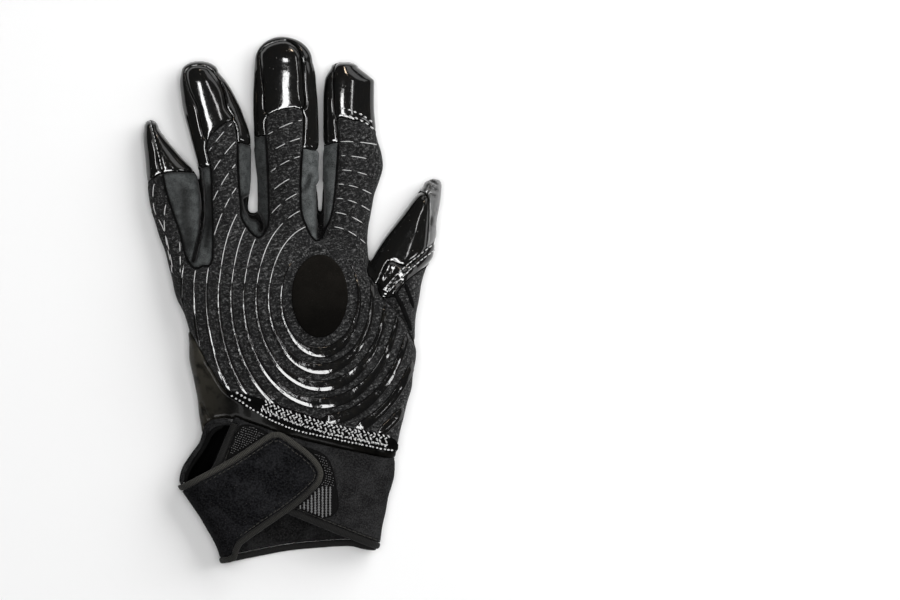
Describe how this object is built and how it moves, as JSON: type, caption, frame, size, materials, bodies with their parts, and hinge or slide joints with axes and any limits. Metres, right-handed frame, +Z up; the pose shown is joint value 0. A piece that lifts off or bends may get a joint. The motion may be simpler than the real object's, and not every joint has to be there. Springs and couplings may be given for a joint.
{
  "type": "sport glove, left hand, lying palm down (listed as a rowing glove)",
  "caption": "Left-hand sport glove: black patent fingertips, charcoal knit back with raised concentric oval ridges round an oval pad, and a neoprene cuff with a folded strap.",
  "frame": {"origin": "on the surface that the glove lies on, below the middle of its box", "axes": "+X towards the thumb, +Y towards the fingertips, +Z up out of the back of the hand"},
  "size_m": [0.1341, 0.236, 0.0225],
  "materials": {
    "palm_leather": "glossy coated grip leather",
    "leather": "black patent gloss",
    "leather_grey": "dark grey gloss",
    "knit": "heathered charcoal knit",
    "spandex": "smooth dark grey stretch cloth",
    "silicone": "glossy black printed silicone",
    "suede": "matte black suede",
    "neoprene": "matte black neoprene",
    "binding": "ribbed elastic tape",
    "hook": "woven fastening patch"
  },
  "bodies": {
    "root": {"back_hem_binding": "binding", "back_panel": "knit", "cuff_wrap": "neoprene", "fourchette_little_ring": "spandex", "fourchette_middle_index": "spandex", "fourchette_ring_middle": "spandex", "hook_patch": "hook", "oval_pad": "suede", "palm_hem_binding": "binding", "palm_panel": "palm_leather", "ridge_1a": "silicone", "ridge_2a": "silicone", "ridge_3a": "silicone", "ridge_4a": "silicone", "ridge_5a": "silicone", "ridge_5b": "silicone", "ridge_6a": "silicone", "ridge_6b": "silicone", "ridge_7a": "silicone", "ridge_7b": "silicone", "ridge_8a": "silicone", "ridge_8b": "silicone", "ridge_9a": "silicone", "strap_binding": "binding", "strap_panel": "neoprene", "thumb_base_panel": "knit", "thumb_gusset": "leather_grey", "thumb_panel": "leather", "thumb_seam_patch": "leather", "tip_gusset_index": "leather", "tip_gusset_little": "leather", "tip_gusset_middle": "leather", "tip_gusset_ring": "leather", "tip_panel_index": "leather", "tip_panel_little": "leather", "tip_panel_middle": "leather", "tip_panel_ring": "leather", "wrist_seam_strip": "leather", "wrist_yoke": "leather"}
  },
  "joints": []
}
